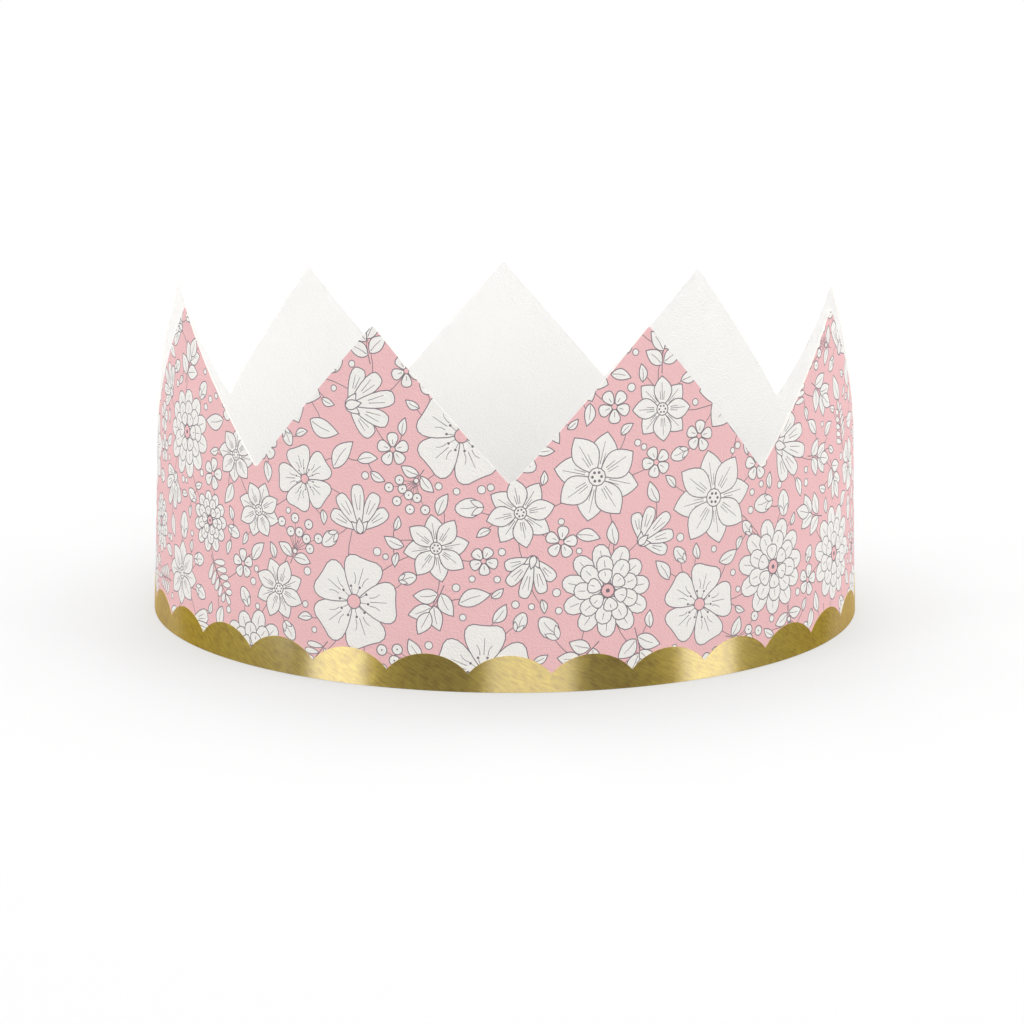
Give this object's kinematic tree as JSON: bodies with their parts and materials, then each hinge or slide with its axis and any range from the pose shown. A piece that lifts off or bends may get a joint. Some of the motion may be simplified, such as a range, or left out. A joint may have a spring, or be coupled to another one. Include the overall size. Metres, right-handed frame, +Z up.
{
  "type": "paper birthday crown",
  "caption": "Ring-shaped party crown of printed card with triangular points, a scalloped gold foil border round the foot and a taped lap seam at the back; worn on the head.",
  "frame": {"origin": "centre of the ring, on the surface that its bottom edge stands on", "axes": "+Z up along the ring's axis; the front valley faces -Y; the seam is at the back"},
  "size_m": [0.18, 0.1797, 0.0787],
  "materials": {
    "printed_card": "matt uncoated card, pink floral print outside, plain white inside and on its cut edges",
    "gold_foil": "gold metallic foil paper with a fine brushed mottle",
    "tape": "double-sided tissue tape, dull white"
  },
  "bodies": {
    "root": {"crown_card": "printed_card", "foil_border": "gold_foil", "seam_tape": "tape"}
  },
  "joints": []
}
